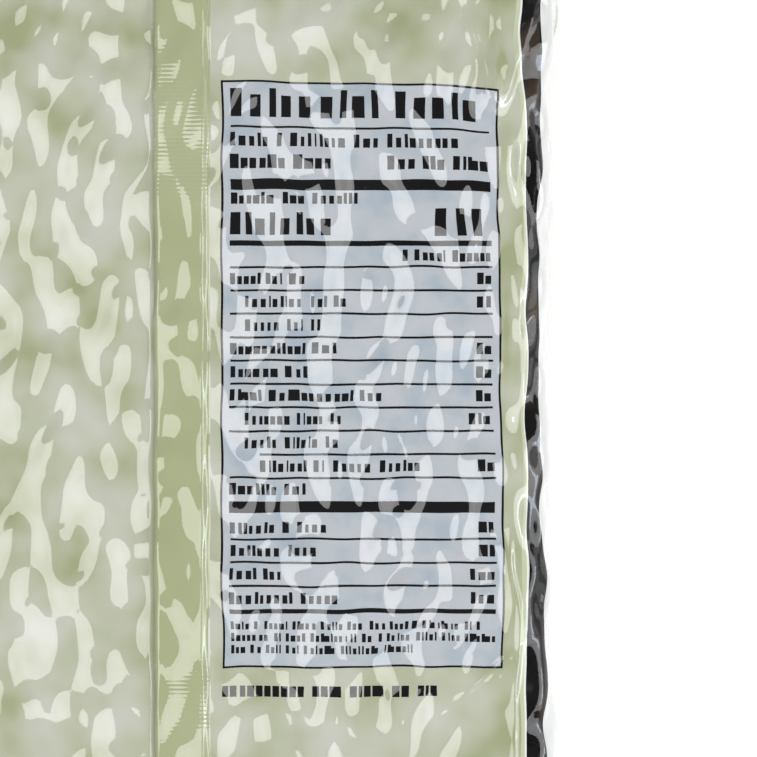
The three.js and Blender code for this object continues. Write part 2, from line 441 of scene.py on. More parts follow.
def section(y):
    """One section at y: film distance from the back's middle line, x, z and the outward direction."""
    half, middle, top, under = section_shape(y)
    angle = np.linspace(0, 2 * np.pi, SECTION_POINTS + 1)
    up = np.cos(angle)
    power = 2 / np.where(up >= 0, top, under)
    across = signed_power(np.sin(angle), power)
    height = half * signed_power(up, power)
    low, high = FLAT_WIDTH / 4, FLAT_WIDTH / 2
    for _ in range(HALVINGS):
        tried = (low + high) / 2
        around = np.hypot(np.diff(across * tried), np.diff(height)).sum()
        low, high = (tried, high) if around < PERIMETER else (low, tried)
    x, z = across * low, height
    steps = np.hypot(np.diff(x), np.diff(z))
    along = np.concatenate([[0], np.cumsum(steps)])
    along *= PERIMETER / along[-1]
    out_x = -np.diff(z) / steps
    out_z = np.diff(x) / steps
    middles = (along[1:] + along[:-1]) / 2
    return along, x, z + middle, middles, out_x, out_z


def bumps(u, y, around, pitch_y, highest, lowest, reach_u, reach_y, feature):
    """Rows of rounded bumps round the bag, each a little off its even place."""
    pitch = PERIMETER / around
    row = np.floor(y / pitch_y + 0.5)
    total = np.zeros(np.broadcast(u, y).shape)
    for dj in range(-2, 3):
        j = row + dj
        shift = 0.5 * (np.abs(j) % 2)
        column = np.floor(u / pitch - shift + 0.5)
        for di in range(-2, 3):
            i = column + di
            n = np.mod(i, around)
            bump_u = (i + shift + SCATTER * (chance(n, j, feature) - 0.5)) * pitch
            bump_y = (j + SCATTER * (chance(n, j, feature + 1) - 0.5)) * pitch_y
            rise = highest * (lowest + (1 - lowest) * chance(n, j, feature + 2))
            turn = TURN * (chance(n, j, feature + 3) - 0.5)
            du = u - bump_u
            dy = y - bump_y
            a = (du * np.cos(turn) + dy * np.sin(turn)) / reach_u
            b = (dy * np.cos(turn) - du * np.sin(turn)) / reach_y
            total += (rise * np.exp(-(a * a + b * b) / 2)) ** BLEND
    return total ** (1 / BLEND)


def bean_relief(u, y):
    """How high the beans lift the film, the same pattern as the solid's."""
    reach = BEAN_REACH_U, BEAN_REACH_Y
    return bumps(u, y, BEANS_AROUND, BEAN_PITCH_Y, RELIEF, LOWEST_BEAN, *reach, 1)


def knob_relief(u, y):
    reach = KNOB_REACH_U, KNOB_REACH_Y
    return bumps(u, y, KNOBS_AROUND, KNOB_PITCH_Y, KNOB_RISE, LOWEST_KNOB, *reach, 11)


def wrinkles(u, y):
    """Slack in the film: shallow waves that fade out along the middle of the front."""
    rng = np.random.default_rng(WRINKLE_SEED)
    total = np.zeros(np.broadcast(u, y).shape)
    u = u - PERIMETER * np.round(u / PERIMETER)
    fade = smoothstep(PERIMETER / 2, PERIMETER / 2 - WRINKLE_FADE, np.abs(u))
    for _ in range(WRINKLES):
        heading = rng.normal(0, WRINKLE_TURN)
        length = rng.uniform(WRINKLE_SHORTEST, WRINKLE_LONGEST)
        phase = rng.uniform(0, 2 * np.pi)
        bend = rng.uniform(0, 2 * np.pi)
        across = u * math.cos(heading) + y * math.sin(heading)
        along = y * math.cos(heading) - u * math.sin(heading)
        bent = WRINKLE_BEND * np.sin(along / WRINKLE_BEND_LENGTH + bend)
        total += np.sin(2 * np.pi * across / length + phase + bent)
    calm = 1 - WRINKLE_CALM * smoothstep(CALM_FROM, CALM_FULL, y)
    return WRINKLE * calm * fade * total / math.sqrt(WRINKLES / 2)


def crease(u, y):
    """The fold that wanders along the bag beside each edge, and the slanted folds by the panel."""
    side = np.abs(u)
    line = add_waves(CREASE_U, y, CREASE_WAVES)
    low_part = smoothstep(CREASE_BELOW, CREASE_BELOW - CREASE_FADE, y)
    strength = low_part * smoothstep(-HALF_LENGTH, CREASE_STOP, y)
    strength = strength + np.exp(-((y - CREASE_AT) / CREASE_AT_REACH) ** 2)
    height = CREASE_HEIGHT * strength * np.exp(-((side - line) / CREASE_WIDTH) ** 2)
    reach = smoothstep(TUCK_FROM, TUCK_FROM + TUCK_RISE, y) * smoothstep(TUCK_STOP, TUCK_FULL_TO, y)
    for place, lean in TUCKS:
        away = side - place - lean * (y - TUCK_FROM)
        height = height + TUCK_HEIGHT * reach * np.exp(-(away / TUCK_WIDTH) ** 2)
    for place, at, lean, half_length, width, rise in LOW_FOLDS:
        away = side - place - lean * (y - at)
        height = height + rise * np.exp(-(away / width) ** 2 - ((y - at) / half_length) ** 2)
    return height


def seam_lines(u):
    """Fine raised lines pressed along the back seam, beside its fold."""
    return sum(SEAM_LINE * np.exp(-((u - place) / SEAM_LINE_WIDTH) ** 2) for place in SEAM_LINES)


def pleat(x, y):
    from_seal = HALF_LENGTH - np.abs(y)
    reach = smoothstep(PLEAT_LENGTH, PLEAT_DEEPEST, from_seal)
    reach = reach * smoothstep(0, PLEAT_DEEPEST, from_seal)
    end = np.where(y > 0, 0, BOTTOM_PHASE)
    fan = x * (1 + PLEAT_FAN * from_seal)
    drift = PLEAT_DRIFT * np.sin(fan / PLEAT_DRIFT_SPACING + end)
    return PLEAT_DEPTH * reach * np.sin(fan / PLEAT_SPACING + drift + end) ** 3


def seal_wave(x):
    return SEAL_WAVE * np.sin(2 * np.pi * x / SEAL_WAVE_LENGTH + SEAL_WAVE_PHASE)


def print_slip(u, y):
    """How far the film is drawn along the bag, most at the panel's top right corner."""
    near = smoothstep(*SLIP_START, u) * smoothstep(*SLIP_STOP, u)
    down = add_ramps(0, u, SLIP_RAMPS)
    wave = add_waves(0, u, SLIP_WAVES) * smoothstep(*SLIP_WAVE_FROM, np.abs(y))
    return near * (wave - down * smoothstep(*SLIP_UPPER, y))


def print_drift(u, y):
    """How far the film is drawn across the bag at one place along it."""
    left = add_ramps(LEFT_DRIFT, y, LEFT_DRIFT_RAMPS)
    panel = add_waves(add_ramps(PANEL_DRIFT, y, PANEL_DRIFT_RAMPS), y, PANEL_DRIFT_WAVES)
    inner = add_waves(add_ramps(GREEN_DRIFT, y, GREEN_DRIFT_RAMPS), y, GREEN_DRIFT_WAVES)
    inner += GREEN_NOTCH * math.exp(-((y - CREASE_AT) / GREEN_NOTCH_REACH) ** 2)
    outer = add_waves(0, y, CLEAR_DRIFT_WAVES)
    outer += CLEAR_BULGE * smoothstep(*CLEAR_BULGE_TOP, y) * smoothstep(*CLEAR_BULGE_FOOT, y)
    places = [DRIFT_FROM, PANEL_RIGHT, GREEN_EDGE, CLEAR_END, CLEAR_END + DRIFT_PAST]
    drift = np.sign(u) * np.interp(np.abs(u), places, [0, panel, inner, outer, 0])
    drift = drift + left * np.exp(-((u - PANEL_LEFT) / LEFT_DRIFT_WIDTH) ** 2)
    return smoothstep(HALF_LENGTH, HALF_LENGTH - DRIFT_FADE, abs(y)) * drift


def film_points(u, y):
    """The film's outer surface at film distances u and places y, as rows of points."""
    rows = []
    drifted = []
    signed = np.where(u > PERIMETER / 2, u - PERIMETER, u)
    for value in y:
        along, x, z, middles, out_x, out_z = section(value)
        drifted.append(u + print_drift(signed, value))
        wrapped = np.mod(drifted[-1], PERIMETER)
        rows.append([
            np.interp(wrapped, along, x),
            np.interp(wrapped, along, z),
            np.interp(wrapped, middles, out_x),
            np.interp(wrapped, middles, out_z),
            np.full(len(u), fullness(value)),
        ])
    x, z, out_x, out_z, full = np.moveaxis(np.array(rows), 1, 0)
    uu = np.array(drifted)
    yy = np.meshgrid(u, y)[1]
    filled = smoothstep(BUMPS_FROM, BUMPS_TO, full)
    above = np.clip(out_z * UPWARD_GAIN, 0, 1)
    relief = bean_relief(uu, yy)
    small = SLOPE_STEP
    slope_u = (bean_relief(uu + small, yy) - bean_relief(uu - small, yy)) / (2 * small)
    slope_y = (bean_relief(uu, yy + small) - bean_relief(uu, yy - small)) / (2 * small)
    in_seam = (uu >= -FIN_WIDTH - ROUNDING) * smoothstep(SEAM_FOLD, SEAM_FOLD - SEAM_ROUND, uu)
    lifted = SEAM_LIFT * np.exp(-((uu - SEAM_FOLD) / SEAM_LIFT_WIDTH) ** 2) * (uu > SEAM_FOLD)
    from_seal = HALF_LENGTH - np.abs(yy)
    fine = knob_relief(uu, yy) - KNOB_DEPTH + wrinkles(uu, yy) + crease(uu, yy)
    move = (relief - RELIEF + fine) * filled
    move += pleat(x, yy) * above
    seam = FIN_THICKNESS * in_seam + seam_lines(uu) + lifted
    move += seam * smoothstep(0, FIN_TAPER, from_seal)
    curl = seal_wave(x) * smoothstep(CURL_REACH, 0, from_seal)
    shift_u = -LATERAL_PULL * slope_u * filled
    shift_y = -LATERAL_PULL * slope_y * filled + print_slip(uu, yy)
    px = x + out_x * move + out_z * shift_u
    py = yy + shift_y
    pz = np.maximum(0, z + out_z * move + curl - out_x * shift_u)
    return np.stack([px, py, pz], axis=2)


def grid_normals(points, u, y):
    """Normals of a grid that goes right round the bag."""
    padded = np.concatenate([points[:, -2:], points, points[:, :2]], axis=1)
    padded_u = np.concatenate([u[-2:] - PERIMETER, u, u[:2] + PERIMETER])
    along_u = np.gradient(padded, padded_u, axis=1)[:, 2:-2]
    along_y = np.gradient(points, y, axis=0)
    normals = np.cross(along_u, along_y)
    lengths = np.linalg.norm(normals, axis=2, keepdims=True)
    return normals / np.maximum(lengths, SHORTEST_NORMAL)


def panel_marks():
    """Lines of plain blocks and the rules between them, as left, right, low and high edges."""
    width = CELL * PANEL_CELLS
    right = width - RIGHT_MARGIN
    height = PANEL_TOP - PANEL_BOTTOM
    marks = [
        (0, BORDER, 0, height),
        (width - BORDER, width, 0, height),
        (0, width, 0, BORDER),
        (0, width, height - BORDER, height),
    ]
    seeds = iter(range(1000))

    def blocks(left, base, counts, size, length):
        """A line of blocks in groups of the numbers given, as long as asked."""
        low, tall, filled = size
        places = []
        at = 0
        for count in counts:
            for number in range(count):
                seed = next(seeds)
                high = number == 0 or chance(seed, 5, 2) < TALL_SHARE
                wide = LOW_WIDTH + WIDTH_SPREAD * chance(seed, 3, 1)
                if high and number:
                    wide = TALL_WIDTH
                places.append((at, wide, high))
                at += wide
            at += GROUP_GAP
        scale = length / (at - GROUP_GAP)
        for at, wide, high in places:
            start = left + CELL * round(at * scale / CELL)
            end = left + CELL * round((at + wide * filled) * scale / CELL)
            end = max(start + CELL, end)
            marks.append((start, end, base - (tall if high else low), base))

    def blocks_right(base, counts, size, length):
        blocks(CELL * round((right - length) / CELL), base, counts, size, length)

    def rule(middle, thick=RULE, left=LEFT_MARGIN):
        marks.append((left, right, middle - thick / 2, middle + thick / 2))

    blocks(LEFT_MARGIN, 6.5, [9], TITLE, 27.3)
    blocks(LEFT_MARGIN + 29.7, 6.5, [5], TITLE, 16.2)
    rule(8.3)
    blocks(LEFT_MARGIN, 11.8, [5, 1, 8, 3, 9], PLAIN, 41.4)
    blocks(LEFT_MARGIN, 15.7, [7, 4], STRONG, 18.3)
    blocks_right(15.7, [3, 3, 5], STRONG, 18.6)
    rule(18.6, THICK_RULE)
    blocks(LEFT_MARGIN, 22.1, [6, 3, 7], SMALL_BOLD, 23.1)
    blocks(LEFT_MARGIN, 27.7, [8], BIG, 18.9)
    blocks_right(27.9, [3], NUMBER, 10.2)
    rule(29.2, MIDDLE_RULE)
    blocks_right(32.4, [1, 5, 6], SMALL_BOLD, 16.2)

    # Indent, groups, their length, groups of the amount, its length, and blocks at the right
    rows = [
        (0, [5, 3], 9.6, [2], 3.3, 2),
        (INDENT, [9, 3, 2], 18.6, [], 0, 2),
        (INDENT, [5, 3, 2], 13.8, [], 0, 0),
        (0, [11], 13.8, [3], 4.8, 2),
        (0, [6], 8.7, [3], 4.8, 2),
        (0, [5, 12], 22.2, [3], 4.5, 2),
        (INDENT, [7, 5, 2], 17.7, [], 0, 3),
        (INDENT, [5, 6, 2], 17.1, [], 0, 0),
        (2 * INDENT, [8, 2, 5, 6], 28.8, [], 0, 2),
        (0, [7], 8.7, [3], 4.2, 0),
    ]
    for number, (indent, groups, length, amount, amount_length, value) in enumerate(rows):
        top = TABLE_TOP + ROW * number
        rule(top, RULE, LEFT_MARGIN + (indent if indent > INDENT else 0))
        base = top + TABLE_BASE
        blocks(LEFT_MARGIN + indent, base, groups, SMALL if indent else SMALL_BOLD, length)
        if amount:
            blocks(LEFT_MARGIN + length + 3 * CELL, base, amount, SMALL, amount_length)
        if value:
            blocks_right(base, [value], SMALL_BOLD, VALUE_WIDTH * value)
    rule(76.3, THICK_RULE)
    # Groups, their length, and blocks at the right
    lines = [([7, 1, 4], 17.7, 2), ([7, 4], 15.9, 2), ([4, 3], 9.6, 3), ([9, 5], 19.8, 3)]
    for number, (groups, length, value) in enumerate(lines):
        top = LOWER_TABLE_TOP + ROW * number
        if number:
            rule(top)
        blocks(LEFT_MARGIN, top + LOWER_TABLE_BASE, groups, SMALL, length)
        blocks_right(top + LOWER_TABLE_BASE, [value], SMALL_BOLD, VALUE_WIDTH * value)
    rule(94.9, LOW_RULE)
    blocks(LEFT_MARGIN, 98.2, [4, 1, 5, 5, 5, 3, 3, 4, 1, 8, 2, 1], TINY, 44.4)
    blocks(LEFT_MARGIN, 100.35, [7, 2, 4, 10, 2, 1, 5, 5, 4, 7], TINY, 47.1)
    blocks(LEFT_MARGIN, 102.5, [3, 2, 4, 3, 7, 9, 7], TINY, 32.7)
    blocks(0, 110.3, [10, 4, 5, 2, 3], LAST, 38.4)
    return [(PANEL_LEFT + a, PANEL_LEFT + b, PANEL_TOP - d, PANEL_TOP - c) for a, b, c, d in marks]


MARKS = panel_marks()


def spread(first, last, step):
    count = max(1, math.ceil((last - first) / step - ROUNDING))
    return [first + (last - first) * k / count for k in range(count + 1)]


def lines_through(edges, step):
    """Grid lines through all the edges, no further apart than step and none closer than a hair."""
    edges = sorted(edges)
    kept = [edges[0]]
    for edge in edges[1:]:
        if edge - kept[-1] > CLOSEST_LINES:
            kept.append(edge)
    lines = []
    for a, b in zip(kept, kept[1:]):
        lines += spread(a, b, step)[:-1]
    return np.array(lines + [kept[-1]])


# Materials


def new_material(name, roughness, ior=1.5):
    material = bpy.data.materials.new(name)
    material.use_nodes = True
    nodes = material.node_tree.nodes
    shader = nodes["Principled BSDF"]
    shader.inputs["Roughness"].default_value = roughness
    shader.inputs["IOR"].default_value = ior
    return material, nodes, material.node_tree.links, shader


def mottled(nodes, links, target, tones, scale, detail=2.0, low=0.3, high=0.7):
    """A colour that drifts between close tones, given in order."""
    place = nodes.new("ShaderNodeTexCoord")
    noise = nodes.new("ShaderNodeTexNoise")
    noise.inputs["Scale"].default_value = scale
    noise.inputs["Detail"].default_value = detail
    ramp = nodes.new("ShaderNodeValToRGB")
    stops = ramp.color_ramp.elements
    while len(stops) < len(tones):
        stops.new(0.5)
    for number, tone in enumerate(tones):
        stops[number].position = low + (high - low) * number / (len(tones) - 1)
        stops[number].color = (*tone, 1)
    links.new(place.outputs["Object"], noise.inputs["Vector"])
    links.new(noise.outputs["Fac"], ramp.inputs["Fac"])
    links.new(ramp.outputs["Color"], target)
    return noise, ramp


def printed_film(name, tones, scale=FILM_PATCHES):
    material, nodes, links, shader = new_material(name, FILM_ROUGHNESS, FILM_IOR)
    mottled(nodes, links, shader.inputs["Base Color"], tones, scale)
    return material


def green_film():
    """Green film with painted shade towards the bag's sides and in the folds beside the panel."""
    material, nodes, links, shader = new_material("sage green film", FILM_ROUGHNESS, FILM_IOR)
    noise, ramp = mottled(nodes, links, shader.inputs["Base Color"], GREEN_TONES, GREEN_PATCHES)
    place = nodes.new("ShaderNodeTexCoord")
    split = nodes.new("ShaderNodeSeparateXYZ")
    side = nodes.new("ShaderNodeMath")
    side.operation = "ABSOLUTE"
    # Painted shade, growing towards the bag's sides
    painted_side_shade = nodes.new("ShaderNodeMapRange")
    painted_side_shade.inputs["From Min"].default_value = SIDES_PAINTED_SHADE_FROM * MM
    painted_side_shade.inputs["From Max"].default_value = SIDES_PAINTED_SHADE_FULL * MM
    painted_side_shade.inputs["To Min"].default_value = 0.0
    painted_side_shade.inputs["To Max"].default_value = SIDES_PAINTED_SHADE
    links.new(place.outputs["Object"], split.inputs["Vector"])
    links.new(split.outputs["X"], side.inputs[0])
    links.new(side.outputs["Value"], painted_side_shade.inputs["Value"])
    shade = painted_side_shade.outputs["Result"]
    # Painted shade: a darker round spot of green in each fold
    for x, y, half_width, half_length, depth in FOLD_PAINTED_SHADES:
        away = nodes.new("ShaderNodeVectorMath")
        away.operation = "SUBTRACT"
        away.inputs[1].default_value = (x * MM, y * MM, FOLD_PAINTED_SHADE_HEIGHT * MM)
        scaled = nodes.new("ShaderNodeVectorMath")
        scaled.operation = "MULTIPLY"
        scaled.inputs[1].default_value = (1 / (half_width * MM), 1 / (half_length * MM), 0)
        painted_fold_spot = nodes.new("ShaderNodeTexGradient")
        painted_fold_spot.gradient_type = "QUADRATIC_SPHERE"
        added = nodes.new("ShaderNodeMath")
        added.operation = "MULTIPLY_ADD"
        added.inputs[1].default_value = depth
        links.new(place.outputs["Object"], away.inputs[0])
        links.new(away.outputs["Vector"], scaled.inputs[0])
        links.new(scaled.outputs["Vector"], painted_fold_spot.inputs["Vector"])
        links.new(painted_fold_spot.outputs["Fac"], added.inputs[0])
        links.new(shade, added.inputs[2])
        shade = added.outputs["Value"]
    tone = nodes.new("ShaderNodeMath")
    tone.operation = "SUBTRACT"
    links.new(noise.outputs["Fac"], tone.inputs[0])
    links.new(shade, tone.inputs[1])
    links.new(tone.outputs["Value"], ramp.inputs["Fac"])
    return material


def clear_film():
    """Clear film, with the brown or black of the bean that touches it from inside."""
    material, nodes, links, shader = new_material("clear film", CLEAR_ROUGHNESS, CLEAR_IOR)
    color = shader.inputs["Base Color"]
    mottled(nodes, links, color, CLEAR_TONES, CLEAR_PATCHES, detail=1.0, low=0.40, high=0.66)
    see_through = nodes.new("ShaderNodeBsdfTransparent")
    blend = nodes.new("ShaderNodeMixShader")
    blend.inputs["Fac"].default_value = CLEAR_SHARE
    output = nodes["Material Output"]
    links.new(see_through.outputs["BSDF"], blend.inputs[1])
    links.new(shader.outputs["BSDF"], blend.inputs[2])
    links.new(blend.outputs["Shader"], output.inputs["Surface"])
    return material


def bean_skin():
    material, nodes, links, shader = new_material("black bean skin", BEAN_ROUGHNESS)
    mottled(nodes, links, shader.inputs["Base Color"], BEAN_TONES, BEAN_PATCHES)
    return material


def deep_dark():
    material, nodes, links, shader = new_material("between the beans", DEEP_ROUGHNESS)
    mottled(nodes, links, shader.inputs["Base Color"], DEEP_TONES, DEEP_PATCHES)
    return material


def seam_film():
    """Green film with the fine crosswise lines that are pressed into the back seam."""
    material, nodes, links, shader = new_material("pressed green film", FILM_ROUGHNESS, FILM_IOR)
    mottled(nodes, links, shader.inputs["Base Color"], SEAM_TONES, FILM_PATCHES)
    place = nodes.new("ShaderNodeTexCoord")
    ribs = nodes.new("ShaderNodeTexWave")
    ribs.bands_direction = "Y"
    ribs.inputs["Scale"].default_value = 2 * math.pi / (WAVE_TEXTURE_FACTOR * LINE_PITCH * MM)
    ribs.inputs["Distortion"].default_value = LINE_WAVINESS
    patches = nodes.new("ShaderNodeTexNoise")
    patches.inputs["Scale"].default_value = LINE_PATCHES
    patches.inputs["Detail"].default_value = 0.0
    fade = nodes.new("ShaderNodeMapRange")
    fade.inputs["From Min"].default_value = LINE_PATCH_FROM
    fade.inputs["From Max"].default_value = LINE_PATCH_FULL
    pressed = nodes.new("ShaderNodeMath")
    pressed.operation = "MULTIPLY"
    bump = nodes.new("ShaderNodeBump")
    bump.inputs["Strength"].default_value = 1.0
    bump.inputs["Distance"].default_value = LINE_RISE * MM
    links.new(place.outputs["Object"], ribs.inputs["Vector"])
    links.new(place.outputs["Object"], patches.inputs["Vector"])
    links.new(patches.outputs["Fac"], fade.inputs["Value"])
    links.new(ribs.outputs["Fac"], pressed.inputs[0])
    links.new(fade.outputs["Result"], pressed.inputs[1])
    links.new(pressed.outputs["Value"], bump.inputs["Height"])
    links.new(bump.outputs["Normal"], shader.inputs["Normal"])
    return material


GREEN = green_film()
PANEL = printed_film("pale panel", PANEL_TONES, PANEL_PATCHES)
# Black ink of the print, also used for the painted shade along the clear film's outer edge
INK = printed_film("black ink", INK_TONES)
EDGE_WHITE = printed_film("white under the green", WHITE_TONES)
# A painted highlight: paler green along the green's edge
PAINTED_EDGE_HIGHLIGHT = printed_film("painted highlight at the green's edge", EDGE_HIGHLIGHT_TONES)
CLEAR = clear_film()
SEAM = seam_film()
SIDE = printed_film("pale side", SIDE_TONES)
FILM_MATERIALS = [GREEN, PANEL, INK, EDGE_WHITE, PAINTED_EDGE_HIGHLIGHT, CLEAR, SEAM, SIDE]
GREEN_I, PANEL_I, INK_I, WHITE_I, EDGE_HIGHLIGHT_I, CLEAR_I, SEAM_I, SIDE_I = range(len(FILM_MATERIALS))


def material_of_cells(u, y):
    """The material of each grid cell, by where its middle lies on the print."""
    uu, yy = np.meshgrid((u[1:] + u[:-1]) / 2, (y[1:] + y[:-1]) / 2)
    index = np.full(uu.shape, GREEN_I)
    signed = np.where(uu > PERIMETER / 2, uu - PERIMETER, uu)
    side = np.abs(signed)
    index[(signed > -FIN_WIDTH) & (signed < SEAM_FOLD)] = SEAM_I
    long_part = np.abs(yy) < STRIPES_END
    show_to = BEANS_SHOW_TO + BEANS_SHOW_WAVE * np.sin(BEANS_SHOW_TURN * side)
    beans_show = np.abs(yy) < show_to - BEANS_SHOW_ROUND * (side - GREEN_EDGE) ** 2
    highlight_end = GREEN_EDGE + EDGE_HIGHLIGHT_LINE
    white_end = highlight_end + WHITE_LINE
    # Painted highlight: a paler green line along the green's edge
    index[(side > GREEN_EDGE) & (side < highlight_end) & long_part] = EDGE_HIGHLIGHT_I
    index[(side > highlight_end) & (side < white_end) & long_part] = WHITE_I
    index[(side > white_end) & (side < SIDE_BAND_END) & long_part] = SIDE_I
    index[(side > white_end) & (side < CLEAR_END) & beans_show] = CLEAR_I
    # Painted shade: black ink along the clear film's outer edge, where the turned film looks dark
    index[(side > CLEAR_END) & (side < CLEAR_END + PAINTED_SHADE_LINE) & beans_show] = INK_I
    front = np.abs(uu - FRONT_MIDDLE)
    window = (front < WINDOW_HALF_WIDTH) & (yy > WINDOW_LOW) & (yy < WINDOW_HIGH)
    index[window] = CLEAR_I
    block = (front < BLOCK_HALF_WIDTH) & (yy > BLOCK_LOW) & (yy < BLOCK_HIGH)
    index[block] = WHITE_I
    panel = (uu > PANEL_LEFT) & (uu < PANEL_RIGHT) & (yy > PANEL_BOTTOM) & (yy < PANEL_TOP)
    index[panel] = PANEL_I
    for left, right, low, high in MARKS:
        index[(uu > left) & (uu < right) & (yy > low) & (yy < high)] = INK_I
    return index


# Meshes


def mesh_object(name, vertices, faces, materials, indices=None, normals=None):
    mesh = bpy.data.meshes.new(name)
    mesh.from_pydata((np.asarray(vertices) * MM).tolist(), [], faces)
    for material in materials:
        mesh.materials.append(material)
    if indices is not None:
        mesh.polygons.foreach_set("material_index", np.asarray(indices, dtype=np.int32).ravel())
    mesh.polygons.foreach_set("use_smooth", np.ones(len(mesh.polygons), dtype=bool))
    if normals is not None:
        mesh.normals_split_custom_set_from_vertices(normals.reshape(-1, 3).tolist())
    mesh.update()
    made = bpy.data.objects.new(name, mesh)
    bpy.context.scene.collection.objects.link(made)
    return made


def grid_faces(rows, columns):
    start = (np.arange(rows - 1)[:, None] * columns + np.arange(columns - 1)[None, :]).ravel()
    return np.stack([start, start + 1, start + 1 + columns, start + columns], axis=1).tolist()


def build_film():
    """The film of the back and of the front, as two grids that share their border lines."""
    mark_rows = [value for mark in MARKS for value in mark[2:]]
    print_end = min(mark_rows)
    y = np.concatenate([
        lines_through([-HALF_LENGTH, -STRIPES_END, WINDOW_LOW, print_end], END_STEP)[:-1],
        lines_through([print_end, PANEL_TOP, WINDOW_HIGH, BLOCK_LOW] + mark_rows, PRINT_STEP),
        lines_through([PANEL_TOP, BLOCK_HIGH, STRIPES_END, HALF_LENGTH], END_STEP)[1:],
    ])
    highlight_end = GREEN_EDGE + EDGE_HIGHLIGHT_LINE
    clear_border = CLEAR_END + PAINTED_SHADE_LINE
    sides = [GREEN_EDGE, highlight_end, highlight_end + WHITE_LINE, CLEAR_END, clear_border, BACK_END]
    left = lines_through([-value for value in sides] + [-FIN_WIDTH - SEAM_DROP], LEFT_STEP)
    fin = np.concatenate([
        spread(-FIN_WIDTH, SEAM_FINE_FROM, SEAM_OUTER_STEP)[:-1],
        spread(SEAM_FINE_FROM, 0, SEAM_STEP),
    ])
    gap = np.array(spread(SEAM_DROP, PANEL_LEFT, GAP_STEP)[:-1])
    margin = lines_through([0, BORDER, LEFT_MARGIN], CELL)[:-1]
    first_cell = round(LEFT_MARGIN / CELL)
    last_cell = round(PANEL_CELLS - RIGHT_MARGIN / CELL)
    cells = np.array([CELL * k for k in range(first_cell, last_cell + 1)])
    other_margin = (PANEL_RIGHT - PANEL_LEFT - margin)[::-1]
    panel = PANEL_LEFT + np.concatenate([margin, cells, other_margin])
    right = lines_through([PANEL_RIGHT] + sides, RIGHT_STEP)[1:]
    back_u = np.concatenate([left, fin, gap, panel, right])
    front_edges = [BACK_END, SIDE_BAND_END]
    front_edges += [FRONT_MIDDLE - BLOCK_HALF_WIDTH, FRONT_MIDDLE - WINDOW_HALF_WIDTH]
    front_edges += [PERIMETER - value for value in front_edges]
    front_u = lines_through(front_edges, FRONT_STEP)
    all_u = np.concatenate([back_u, front_u[1:-1]])
    points = film_points(all_u, y)
    normals = grid_normals(points, all_u, y)
    back_columns = list(range(len(back_u)))
    front_columns = list(range(len(back_u) - 1, len(all_u))) + [0]
    pieces = []
    for name, u, columns in (
        ("film_back", back_u, back_columns),
        ("film_front", front_u, front_columns),
    ):
        vertices = points[:, columns].reshape(-1, 3)
        faces = grid_faces(len(y), len(columns))
        indices = material_of_cells(u, y)
        pieces.append(mesh_object(name, vertices, faces, FILM_MATERIALS, indices, normals[:, columns]))
    return pieces


def build_seal(side, name):
    """A ribbed end seal with a zigzag cut, and the end of the back seam on it."""
    teeth = round(FLAT_WIDTH / TOOTH_PITCH)
    count = teeth * COLUMNS_PER_TOOTH + 1
    x = FLAT_WIDTH * (np.arange(count) / (count - 1) - 0.5)
    phase = np.mod(np.arange(count) / COLUMNS_PER_TOOTH, 1)
    zig = 1 - np.abs(2 * phase - 1)
    tip = HALF_LENGTH + SEAL_LENGTH - TOOTH_DEPTH * (1 - zig)
    rib = RIB_HEIGHT * (0.5 - 0.5 * np.cos(2 * np.pi * phase))
    root = HALF_LENGTH - SEAL_OVERLAP
    share = np.linspace(0, 1, SEAL_ROWS)[:, None]
    y = root + (tip[None, :] - root) * share
    pressed = smoothstep(PRESSED_FROM, PRESSED_FULL, share)
    fin = FIN_THICKNESS * ((x > -FIN_WIDTH) & (x < 0))[None, :]
    ribs = (rib[None, :] - RIB_HEIGHT / 2) * pressed
    middle = SEAL_HEIGHT + seal_wave(x)[None, :] + ribs - SEAL_DROOP * share
    xx = np.broadcast_to(x, y.shape)
    upper = np.stack([xx, side * y, middle + SEAL_THICKNESS / 2 + fin], axis=2)
    lower = np.stack([xx, side * y, middle - SEAL_THICKNESS / 2], axis=2)
    vertices = np.concatenate([upper.reshape(-1, 3), lower.reshape(-1, 3)])
    faces = grid_faces(SEAL_ROWS, count)
    offset = SEAL_ROWS * count
    faces += [[d + offset, c + offset, b + offset, a + offset] for a, b, c, d in faces]
    last = (SEAL_ROWS - 1) * count
    for k in range(count - 1):
        faces.append([last + k, last + k + 1, offset + last + k + 1, offset + last + k])
        faces.append([k + 1, k, offset + k, offset + k + 1])
    for k in range(SEAL_ROWS - 1):
        a = k * count
        faces.append([a, a + count, offset + a + count, offset + a])
        b = a + count - 1
        faces.append([b + count, b, offset + b, offset + b + count])
    if side < 0:
        faces = [face[::-1] for face in faces]
    middles = np.array([vertices[face].mean(axis=0) for face in faces])
    halfway = SEAL_HEIGHT + seal_wave(middles[:, 0]) - SEAL_DROOP / 2
    edge = np.where(middles[:, 2] > halfway, GREEN_EDGE, FLAT_WIDTH - SIDE_BAND_END)
    return mesh_object(name, vertices, faces, [GREEN, SIDE], np.abs(middles[:, 0]) > edge)


def bean_shape(around=16, rings=10):
    """A plump bean of unit size as vertices and faces."""
    vertices = [(0, 0, 1)]
    for r in range(1, rings):
        polar = math.pi * r / rings
        for k in range(around):
            turn = 2 * math.pi * k / around
            x = math.sin(polar) * math.cos(turn)
            y = math.sin(polar) * math.sin(turn)
            vertices.append((x, y, math.cos(polar)))
    vertices.append((0, 0, -1))
    faces = [[0, 1 + k, 1 + (k + 1) % around] for k in range(around)]
    for r in range(rings - 2):
        for k in range(around):
            a = 1 + r * around
            b = a + around
            faces.append([a + k, b + k, b + (k + 1) % around, a + (k + 1) % around])
    last = len(vertices) - 1
    base = 1 + (rings - 2) * around
    faces += [[last, base + (k + 1) % around, base + k] for k in range(around)]
    return np.array(vertices), faces


